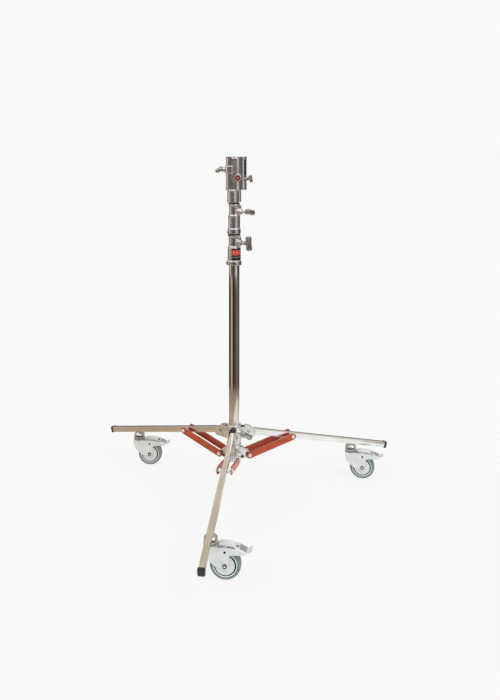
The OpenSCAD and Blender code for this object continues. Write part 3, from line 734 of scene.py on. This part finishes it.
def pivot_bolt(bm, at, radius, half, head_r=6.6 * MM):
    """A domed bolt and a nut with a locking ring, on washers, outside whatever spans from -half to half."""
    tip = half + NUT_HEIGHT + 1.2 * MM
    turned(bm, at, [(0, -half - 0.5 * MM), (radius, -half - 0.5 * MM), (radius, tip - 0.6 * MM),
                    (radius - 0.7 * MM, tip), (0, tip)], 32)
    dome = [(head_r * math.cos(t), -half - 1.2 * MM - (HEAD_HEIGHT - 1.2 * MM) * math.sin(t))
            for t in (math.radians(90 * i / 8) for i in range(9))]
    washer_r = head_r + 0.4 * MM
    turned(bm, at, [(0, -half), (washer_r, -half), (washer_r, -half - 0.7 * MM)] + dome, 48)
    washer_r, seat = head_r + 0.6 * MM, half + 0.8 * MM
    turned(bm, at, rounded(rod(washer_r, half, seat), 0.2 * MM, False, 2), 48)
    nut(bm, at, 11.4 * MM, seat, half + 3.6 * MM)
    turned(bm, at, [(radius, half + 3.5 * MM), (5.1 * MM, half + 3.5 * MM), (4.9 * MM, half + NUT_HEIGHT),
                    (radius, half + NUT_HEIGHT)], 36, ring=True, mark=1)


def base_bolts():
    """The bolts of the knees with their spacers, and those of the braces' feet and the hub."""
    pivots = bmesh.new()
    hubs = bmesh.new()
    for leg in LEGS:
        at = leg_frame(leg)
        knee_at = frame_at(place_of("knee_" + leg), at.to_3x3() @ Vector((1, 0, 0)))
        half = extent("knee_bolt_" + leg, knee_at)[1].y - NUT_HEIGHT
        bm = bmesh.new()
        pivot_bolt(bm, across(knee_at), 4 * MM, half)
        leg_side = extent("leg_tube_" + leg, knee_at)[1].y
        for side in (-1, 1):
            start, end = sorted((side * leg_side, side * (half - 7.5 * MM)))
            turned(bm, across(knee_at), rounded(rod(7 * MM, start, end), 0.5 * MM, False, 3), 40)
        piece("knee_bolt_set_" + leg, bm, "leg_" + leg, ["zinc", "nylon"], ["knee_bolt_" + leg])
        foot = place_of("base_fold" if leg == "front" else f"brace_{leg}_fold")
        out = Vector((foot.x, foot.y, 0))
        pivot_bolt(pivots, across(frame_at(foot, out)), 4 * MM, half)
        hub_at = frame_at(at.translation, out)
        cheek = extent("hub_pivot_bolts", hub_at, 26 * MM)[1].y - NUT_HEIGHT
        pivot_bolt(hubs, across(hub_at), 4.5 * MM, cheek)
    piece("brace_pivot_set", pivots, "column", ["zinc", "nylon"], ["brace_pivot_bolts"])
    piece("hub_pivot_set", hubs, "hub", ["zinc_grey", "black_steel"], ["hub_pivot_bolts"])


def small_screws():
    """Black socket screws round the lower collar, and a small one in each of the two castings above."""
    bm = bmesh.new()
    for angle in (-30, 90, 210):
        at = along(upright(math.radians(angle), COLLAR_SCREWS_Z))
        thread(bm, at, 3 * MM, 21 * MM, 39 * MM, MM)
        small_screw(bm, at, 4.7 * MM, 38 * MM, 45 * MM, 2.6 * MM)
    small_screw(bm, along(upright(SCREW_AZIMUTH, COLUMN_SCREW_Z)), 2.6 * MM, 27.4 * MM, 31 * MM, 1.4 * MM)
    piece("collar_screw_set", bm, "column", ["black_steel"], ["collar_screws"])
    bm = bmesh.new()
    small_screw(bm, along(upright(SCREW_AZIMUTH, RISER_SCREW_Z)), 2.6 * MM, 24.2 * MM, 27.5 * MM, 1.4 * MM)
    piece("riser_1_screw_head", bm, "riser_1", ["black_steel"], ["riser_1_screw"])


base_bolts()
small_screws()


# ---- legs and braces ----

def leg(side, key):
    """The drawn box tube of a leg, open at both ends under its boots."""
    at = leg_frame(side)
    low, high = extent("leg_tube_" + side, at)
    wide, tall = high.y - low.y, high.z - low.z
    outer = box_outline(wide, tall, 3 * MM)
    inner = box_outline(wide - 2 * LEG_WALL, tall - 2 * LEG_WALL, 1.5 * MM)
    count = 12
    ends = [low.x + (high.x - low.x) * i / count for i in range(count + 1)]
    rings = [[at @ Vector((x, y, z)) for y, z in outer] for x in ends]
    rings += [[at @ Vector((x, y, z)) for y, z in inner] for x in reversed(ends)]
    bm = bmesh.new()
    loft(bm, rings, closed_loop=True)
    piece("leg_box_" + side, bm, "leg_" + side, [key], ["leg_tube_" + side])


def leg_boots(side):
    """Moulded boots with a rolled rim and a crowned end."""
    at = leg_frame(side)
    low, high = extent("leg_caps_" + side, at)
    wide, tall = high.y - low.y, high.z - low.z
    tube_high = extent("leg_tube_" + side, at)[1]
    end = high.x - tube_high.x
    mouth = 2 * (tube_high.y + BOOT_SLACK), 2 * (tube_high.z + BOOT_SLACK)
    # Millimetres inward from the end face, and how far the outline grows there
    profile = [(0.0, -3.6), (0.3, -2.0), (1.0, -0.8), (2.2, -0.1), (3.2, 0.0), (6.6, 0.0), (7.0, -0.4),
               (7.6, -0.4), (8.0, 0.0), (9.9, -0.1), (10.5, -0.7)]
    bm = bmesh.new()
    for sign, face in ((-1, low.x), (1, high.x)):
        rings = []
        for inward, grow in profile:
            outline = box_outline(wide + 2 * grow * MM, tall + 2 * grow * MM, max(1.2, 4.4 + grow) * MM)
            rings.append([at @ Vector((face - sign * inward * MM, y, z)) for y, z in outline])
        for x in (BOOT_SKIRT + end, end):
            rings.append([at @ Vector((face - sign * x, y, z)) for y, z in box_outline(*mouth, 2.9 * MM)])
        loft(bm, rings)
    piece("leg_boots_" + side, bm, "leg_" + side, ["plastic"], ["leg_caps_" + side], 50.0)


def brace(side):
    node = "brace_" + side
    bm = cad_copy(node)
    ease_edges(bm, 0.7 * MM)
    weighted(piece("brace_channels_" + side, bm, node, ["orange"], [node], 60.0))


# The front and left legs take the warm painted reflection and the right leg the pale, cool one; all three are
# the same chrome.
for side, finish in zip(LEGS, ("leg_painted_warm_reflection", "leg_painted_cool_reflection", "leg_painted_warm_reflection")):
    leg(side, finish)
    leg_boots(side)
    brace(side)


# ---- castors ----

def castor_stem(side, at):
    """Threaded stem, its flange and nut, and the dished cup under the leg."""
    low, high = extent("castor_stem_" + side, at)
    bm = bmesh.new()
    thread(bm, at, 6 * MM, low.z + 5 * MM, high.z, SCREW_PITCH)
    turned(bm, at, rounded(rod(9 * MM, low.z, low.z + 5.1 * MM), 0.5 * MM, False, 3), 40)
    nut(bm, at, 16 * MM, high.z - 10.6 * MM, high.z - 3.6 * MM)
    cup = [(0, 4), (19, 0), (22, 0), (22, 3), (17, 8), (12.5, 11.5), (11, 12.6), (0, 12.6)]
    before = len(bm.verts)
    turned(bm, at, rounded(mm(cup, z=CUP_HEIGHT), 1.2 * MM, False, 4), 64)
    # The cup's top is pressed flat against the leg's underside
    lean = leg_frame(side)
    under = lean.inverted()
    leg_low, leg_high = extent("leg_tube_" + side, lean)
    ceiling = -(leg_high.z - leg_low.z) / 2 - 0.1 * MM
    for v in list(bm.verts)[before:]:
        p = under @ v.co
        if p.z > ceiling:
            p.z = ceiling
            v.co = lean @ p
    piece("castor_cup_" + side, bm, "leg_" + side, ["zinc_grey"], ["castor_stem_" + side])


def castor_race(side, at):
    """Pressed race halves with a ring of balls between them."""
    low, high = extent("castor_race_" + side, at)
    foot, top, bore, core_r = low.z, high.z, 6.1 * MM, 15.4 * MM
    lower = [(bore, foot), (high.y, foot), (high.y, foot + 2.4 * MM), (20.5 * MM, foot + 4 * MM),
             (17 * MM, foot + 4.6 * MM), (bore, foot + 4.6 * MM)]
    upper = [(bore, top - 8.6 * MM), (17 * MM, top - 8.6 * MM), (20 * MM, top - 8 * MM),
             (23 * MM, top - 6.8 * MM), (23 * MM, top - 3.6 * MM), (13 * MM, top), (bore, top)]
    core = [(bore, foot + 4 * MM), (core_r, foot + 4 * MM), (core_r, top - 8 * MM), (bore, top - 8 * MM)]
    bm = bmesh.new()
    for outline in (lower, upper):
        turned(bm, at, rounded(outline, 0.6 * MM, True, 3), 64, ring=True)
    turned(bm, at, core, 48, ring=True, mark=1)
    balls, ring_r = 22, 18.2 * MM
    for i in range(balls):
        a = math.tau * i / balls
        ball(bm, at @ Vector((ring_r * math.cos(a), ring_r * math.sin(a), foot + 6 * MM)), 2.2 * MM)
    piece("castor_bearing_" + side, bm, "castor_" + side, ["zinc_grey", "black_steel"],
          ["castor_race_" + side])


def crest(x):
    """Height of the CAD fork's upper edge at a distance behind the stem."""
    return CREST_HEIGHT - CREST_BEND * (x - CREST_TOP) ** 2


def castor_fork(side, at):
    """The pressed fork with raised rims round the axle, its upper edge lowered to clear the pedal's roof."""
    node = "castor_fork_" + side
    bm = cad_copy(node)
    back = at.inverted()
    for v in bm.verts:
        p = back @ v.co
        if CREST_START < p.x < CREST_END and p.z > crest(p.x) - MM:
            p.z -= CREST_DROP * (1 - ((p.x - CREST_TOP) / (CREST_END - CREST_TOP)) ** 2)
            v.co = at @ p
    ease_edges(bm, 0.6 * MM)
    plate = extent(node, at)[1].y
    rim = [(5, -1), (14.6, -1), (13.4, 0.5), (11.6, 0.5), (10.6, 0.1), (5, 0.1)]
    for sign in (-1, 1):
        outline = rounded(mm(rim, z=plate, way=sign), 0.4 * MM, True, 3)
        turned(bm, pin_frame("roll_" + side, at), outline, 64, ring=True)
    weighted(piece("castor_yoke_" + side, bm, "castor_" + side, ["zinc"], [node], 60.0))


def castor_axle(side, at):
    """Axle bolt, its nuts, the dished thread guards and the pedal's rivets."""
    out = extent("castor_fork_" + side, at)[1].y
    hub_at, pin_at = (pin_frame(joint + side, at) for joint in ("roll_", "brake_"))
    bm = bmesh.new()
    bolt = [(0, -out - 3.6 * MM), (2.4 * MM, -out - 3.6 * MM), (4 * MM, -out - 2.6 * MM),
            (4 * MM, out + 3.2 * MM), (3.2 * MM, out + 4 * MM), (0, out + 4 * MM)]
    turned(bm, hub_at, bolt, 32)
    guard = [(6, 15.2), (29.6, 15.2), (31.4, 15.4), (31.4, 16.5), (30.6, 17.3), (29, 16.9), (27.6, 16.4),
             (17, 16.7), (14, 17.6), (6, 17.6)]
    shank_start, shank_end, shank_r, head_r = 17 * MM, out - 0.1 * MM, 2.5 * MM, 3.9 * MM
    for sign in (-1, 1):
        # The axle nuts and the rivet heads take mark 2, black steel. On the nuts this is painted shade: they
        # are grey nuts shaded dark on top. The rivet heads are made dark as well.
        nut(bm, hub_at, 13 * MM, sign * out, sign * (out + 3.3 * MM), mark=2, bore=3.9 * MM)
        turned(bm, hub_at, rounded(mm(guard, way=sign), 0.5 * MM, True, 3), 96, ring=True)
        turned(bm, hub_at, rod(7 * MM, sign * 15 * MM, sign * (out - 2.4 * MM)), 32)
        dome = [(head_r * math.cos(t), sign * (out + 1.3 * MM * math.sin(t)))
                for t in (math.radians(90 * i / 6) for i in range(7))]
        turned(bm, pin_at, [(0, sign * shank_start), (shank_r, sign * shank_start),
                            (shank_r, sign * shank_end), (head_r, sign * shank_end)] + dome, 32, mark=2)
    piece("castor_axle_set_" + side, bm, "castor_" + side, ["zinc", "zinc_grey", "black_steel"],
          ["castor_axle_" + side])


def castor_wheel(side, at):
    """Moulded rim with a ribbed web and a black rubber ring in its side recess, which paints the shade in the
    gap between the thread guard and the rim, and the tyre with its shoulder lines.
    """
    hub_at = pin_frame("roll_" + side, at)
    rim_high = extent("castor_rim_" + side, hub_at)[1]
    rim_r, half = rim_high.x, rim_high.z
    bore, hub, hub_half = 4.05 * MM, 12.5 * MM, half - 1.4 * MM
    web, web_half, ledge = 35.6 * MM, 3 * MM, 36.1 * MM
    upper = [(rim_r, half), (ledge, half), (web, web_half), (hub + 0.8 * MM, web_half), (hub, hub_half),
             (bore, hub_half)]
    outline = [(r, -y) for r, y in reversed(upper)] + upper
    bm = bmesh.new()
    turned(bm, hub_at, rounded(outline, 0.7 * MM, True, 3), 96, ring=True)
    ribs, rib_half = 12, 12.2 * MM
    rib = [(hub - MM, -rib_half), (34 * MM, -rib_half), (34 * MM, rib_half), (hub - MM, rib_half)]
    upright_rib = Matrix.Rotation(math.radians(90), 4, "X")
    for i in range(ribs):
        spoke = hub_at @ Matrix.Rotation(math.tau * i / ribs, 4, "Z") @ upright_rib
        prism(bm, spoke, rib, -0.8 * MM, 0.8 * MM)
    # A black rubber ring in the rim's side recess. It is painted shade, and shows as a dark ring just outside
    # the thread guard's edge.
    painted_shade_ring = [(24, 3), (35.8, 3), (35.8, 12.4), (33.4, 12.8), (24, 12.8)]
    for sign in (-1, 1):
        turned(bm, hub_at, mm(painted_shade_ring, way=sign), 96, ring=True, mark=1)
    piece("castor_rim_disc_" + side, bm, "wheel_" + side, ["rim", "rubber"],
          ["castor_rim_" + side])

    tyre_high = extent("castor_tyre_" + side, hub_at)[1]
    r, half = tyre_high.x, tyre_high.z
    wall = [(-0.6, -1.2), (0.8, 0), (3, -0.5), (3.6, -0.9)]
    shoulder = [(-4.6, -0.6), (-2.2, -3), (-0.9, -6), (-0.7, -7.4), (-1.3, -8), (-1.3, -8.6), (-0.4, -9.2),
                (0, -12)]
    right = mm(wall, rim_r, half) + mm(shoulder, r, half)
    left = [(x, -y) for x, y in reversed(right)]
    bm = bmesh.new()
    turned(bm, hub_at, rounded(right + left, 0.5 * MM, True, 3), 128, ring=True)
    piece("castor_tyre_ring_" + side, bm, "wheel_" + side, ["tyre"], ["castor_tyre_" + side])


def pedal(side, at):
    """The pressed pedal with its roof widened and lipped, its ridged tread pad, and a black plastic plug in
    its release loop that is in part a dark release button and in part painted shade inside the loop.
    """
    node, body = "brake_pedal_" + side, "pedal_" + side
    bm = cad_copy(node)
    back = at.inverted()
    for v in bm.verts:
        p = back @ v.co
        on_roof = CREST_START - MM < p.x < ROOF_END and p.z > crest(p.x) - 0.3 * MM
        if on_roof and 12.5 * MM < abs(p.y) < 13.5 * MM:
            p.y = math.copysign(ROOF_HALF, p.y)
            v.co = at @ p
    ease_edges(bm, 0.4 * MM)
    steps = [CREST_START + (ROOF_END - CREST_START) * i / 10 for i in range(11)]
    lip = [(x, crest(x) + 1.6 * MM) for x in steps] + [(x, crest(x) - 1.9 * MM) for x in reversed(steps)]
    for y in (-ROOF_HALF, ROOF_HALF - 1.5 * MM):
        prism(bm, at, rounded(lip, 0.5 * MM, True, 2), y, y + 1.5 * MM)
    weighted(piece("pedal_press_" + side, bm, body, ["zinc"], [node], 60.0))

    # Outlines in millimetres behind the stem and above the floor
    pad = bmesh.new()

    def plate(outline, half, ease, steps=2, mark=0):
        prism(pad, at, rounded(mm(outline), ease * MM, True, steps), -half * MM, half * MM, mark)

    path = [(94, 106.7), (100, 104.1), (106, 101.5), (112, 98.9), (115.6, 97.4)]
    plate([(x, z - 0.2) for x, z in path] + [(x, z + 1.2) for x, z in reversed(path)], 15.4, 0.6)
    for i in range(6):
        x = 96 + 3.4 * i
        z = 107.4 - (x - 94) * 0.432
        plate([(x - 1.0, z - 0.4), (x - 0.5, z + 1.2), (x + 0.5, z + 0.8), (x + 1.0, z - 1.2)], 14.2, 0.3)
    # A black plastic plug filling the release loop's window. It paints the shade inside the loop, and in part
    # stands for a dark release button.
    shade_plug = [(82.4, 109), (89.6, 107.6), (89.6, 112.4), (88, 114), (84, 114), (82.4, 112.4)]
    plate(shade_plug, 7.5, 0.8, 3, mark=1)
    piece("pedal_pad_" + side, pad, body, ["tread", "plastic"])


for side in LEGS:
    under_stem = castor_frame(side)
    for build in (castor_stem, castor_race, castor_fork, castor_axle, castor_wheel, pedal):
        build(side, under_stem)


# ---- CAD nodes that stay ----

for node, key in (("column_label", "label"), ("column_foot_plug", "plastic"), ("column_clamp_shoe", "nylon"),
                  ("riser_1_clamp_shoe", "nylon"), ("riser_1_foot", "nylon"), ("riser_2_foot", "nylon")):
    restyle(node, key)


# ---- stage ----

def floor():
    """A pale disc that fades into the backdrop's brightness at its rim. In the chrome it is a white sheet
    with a tan side and a grey shade near the stand, and a tan floor that darkens with distance beyond it."""
    bm = bmesh.new()
    turned(bm, Matrix.Identity(4), [(0, 0), (0.6, 0), (1.0, 0), (FLOOR_RADIUS, 0)], 128)
    for face in [f for f in bm.faces if len(f.verts) > 4]:
        bm.faces.remove(face)
    made = placed("floor", mesh_of("floor", bm))
    g = Surface("floor_paper")
    parts = g.add("ShaderNodeSeparateXYZ", {"Vector": g.place}).outputs
    reach = g.add("ShaderNodeVectorMath", {0: g.place}, operation="LENGTH").outputs["Value"]
    g.set(Base_Color=(0.9, 0.9, 0.9, 1.0), Roughness=0.8)
    glow = g.add("ShaderNodeEmission", {"Color": (1, 1, 1, 1), "Strength": PAPER}).outputs[0]
    fade = g.span(reach, 0.88, 1.0, 0.6, 1.2)
    paper = g.add("ShaderNodeMixShader", {0: fade, 1: g.shader.outputs[0], 2: glow})

    def spread(middle, stretch):
        """Distance from a middle point, with each axis stretched."""
        moved = g.add("ShaderNodeVectorMath", {0: g.place, 1: middle}, operation="SUBTRACT").outputs["Vector"]
        scaled = g.add("ShaderNodeVectorMath", {0: moved, 1: stretch}, operation="MULTIPLY").outputs["Vector"]
        return g.add("ShaderNodeVectorMath", {0: scaled}, operation="LENGTH").outputs["Value"]

    def edge(value, start, end):
        """0 before start and 1 past end."""
        return g.span(value, 0.0, 1.0, start, end)

    sheet = g.blend(edge(parts["X"], -0.34, -0.2), (0.6, 0.49, 0.32), (0.93, 0.93, 0.92))
    corner = g.math("MULTIPLY", edge(parts["X"], 0.855, 0.875), edge(parts["Y"], 0.04, 0.08))
    sheet = g.blend(corner, sheet, (0.52, 0.51, 0.4))
    shade = edge(spread((-0.1, -0.16, 0.0), (4.2, 3.8, 1.0)), 0.7, 1.0)
    sheet = g.blend(shade, (0.42, 0.38, 0.33), sheet)
    far = g.blend(edge(reach, 0.9, 1.3), (0.54, 0.45, 0.31), (0.3, 0.25, 0.18))
    mirrored = g.blend(edge(spread((0.24, 0.0, 0.0), (1.0, 1.0, 1.0)), 0.9, 0.98), sheet, far)
    shine = g.add("ShaderNodeEmission", {"Color": mirrored, "Strength": 1.0}).outputs[0]
    glossy = g.add("ShaderNodeLightPath").outputs["Is Glossy Ray"]
    mixed = g.add("ShaderNodeMixShader", {0: glossy, 1: paper.outputs[0], 2: shine})
    output = next(n for n in g.tree.nodes if n.type == "OUTPUT_MATERIAL")
    g.feed(output.inputs["Surface"], mixed.outputs[0])
    g.material.cycles.emission_sampling = "NONE"
    made.data.materials.append(g.material)


def studio():
    """Even pale light for the eye and for matt surfaces, and dark walls and strip lights for the chrome."""
    world = bpy.data.worlds.new("studio")
    bpy.context.scene.world = world
    world.cycles.sampling_method = "NONE"
    g = Graph(world)
    g.tree.nodes.clear()
    add = g.add

    def ramp(value, stops):
        node = add("ShaderNodeValToRGB", {"Fac": value})
        while len(node.color_ramp.elements) < len(stops):
            node.color_ramp.elements.new(1.0)
        for element, (position, colour) in zip(node.color_ramp.elements, stops):
            element.position, element.color = position, (*colour, 1.0)
        return node.outputs["Color"]

    # The walls go once round from -X, and the heights go from straight down to straight up
    ray = add("ShaderNodeSeparateXYZ", {"Vector": add("ShaderNodeTexCoord").outputs["Generated"]}).outputs
    turn = g.math("ARCTAN2", ray["Y"], ray["X"])
    share = g.span(turn, 0.0, 1.0, -math.pi, math.pi)
    height = g.span(ray["Z"], 0.0, 1.0, -1.0, 1.0)
    walls = ramp(share, [
        (0.0, (0.05, 0.035, 0.026)), (0.055, (0.06, 0.042, 0.03)), (0.075, (1.0, 0.84, 0.72)),
        (0.112, (0.55, 0.44, 0.35)), (0.185, (0.3, 0.24, 0.19)), (0.2, (0.03, 0.02, 0.015)),
        (0.29, (0.04, 0.03, 0.024)), (0.32, (0.1, 0.086, 0.078)), (0.42, (0.13, 0.115, 0.105)),
        (0.45, (0.26, 0.25, 0.245)), (0.485, (0.24, 0.23, 0.225)), (0.51, (0.12, 0.1, 0.09)),
        (0.67, (0.1, 0.088, 0.08)), (0.7, (0.05, 0.038, 0.03)), (1.0, (0.05, 0.035, 0.026))])
    cream, cool = (1.0, 0.86, 0.75), (0.85, 0.87, 0.9)
    soft = ramp(share, [
        (0.0, cream), (0.04, cream), (0.06, (0.18, 0.16, 0.15)), (0.13, (0.14, 0.135, 0.14)),
        (0.25, (0.08, 0.078, 0.082)), (0.31, (0.15, 0.155, 0.165)), (0.35, (0.4, 0.42, 0.45)), (0.375, cool),
        (0.415, cool), (0.445, (0.36, 0.36, 0.37)), (0.53, (0.09, 0.075, 0.07)),
        (0.935, (0.08, 0.06, 0.05)), (0.955, cream), (1.0, cream)])
    sky = ramp(height, [
        (0.0, (0.9, 0.9, 0.88)), (0.31, (0.4, 0.35, 0.27)), (0.36, (0.2, 0.17, 0.14)),
        (0.53, (0.36, 0.325, 0.29)), (0.62, (0.42, 0.38, 0.34)), (0.7, (0.66, 0.58, 0.51)),
        (0.87, (0.88, 0.82, 0.76)), (0.905, (0.7, 0.63, 0.54)), (1.0, (0.66, 0.6, 0.51))])
    on, off = (1, 1, 1), (0, 0, 0)
    low = ramp(height, [(0.0, on), (0.405, on), (0.435, off), (1.0, off)])
    blend = ramp(height, [(0.0, on), (0.32, on), (0.345, off), (0.53, off), (0.56, on)])
    seen = g.blend(blend, g.blend(low, soft, walls), sky)
    mirror = add("ShaderNodeBackground", {"Color": seen, "Strength": 1.0}).outputs[0]
    fill = add("ShaderNodeBackground", {"Color": (1, 1, 1, 1), "Strength": SKY}).outputs[0]
    paper = add("ShaderNodeBackground", {"Color": (1, 1, 1, 1), "Strength": PAPER}).outputs[0]
    path = add("ShaderNodeLightPath").outputs
    lit = add("ShaderNodeMixShader", {0: path["Is Glossy Ray"], 1: fill, 2: mirror}).outputs[0]
    shown = add("ShaderNodeMixShader", {0: path["Is Camera Ray"], 1: lit, 2: paper}).outputs[0]
    add("ShaderNodeOutputWorld", {"Surface": shown})


def sun(name, azimuth, height, strength, spread):
    """A broad lamp that shines in from an azimuth and a height, in degrees."""
    data = bpy.data.lights.new(name, "SUN")
    data.energy, data.angle = strength, math.radians(spread)
    made = placed(name, data)
    a, e = math.radians(azimuth), math.radians(height)
    toward = Vector((math.cos(a) * math.cos(e), math.sin(a) * math.cos(e), math.sin(e)))
    made.rotation_euler = toward.to_track_quat("Z", "Y").to_euler()


def camera():
    data = bpy.data.cameras.new("camera")
    data.lens, data.sensor_width = CAMERA_LENS, 36.0
    data.shift_x, data.shift_y = CAMERA_SHIFT
    made = placed("camera", data)
    turn = math.radians(CAMERA_AZIMUTH)
    made.location = (math.sin(turn) * CAMERA_REACH, -math.cos(turn) * CAMERA_REACH, CAMERA_HEIGHT)
    made.rotation_euler = (math.radians(90 - CAMERA_PITCH), 0, turn)
    bpy.context.scene.camera = made


floor()
studio()
sun("key_light", -35, 50, 1.05, 40)
sun("fill_light", -145, 55, 0.6, 50)
camera()
bpy.context.scene.view_settings.view_transform = "Standard"
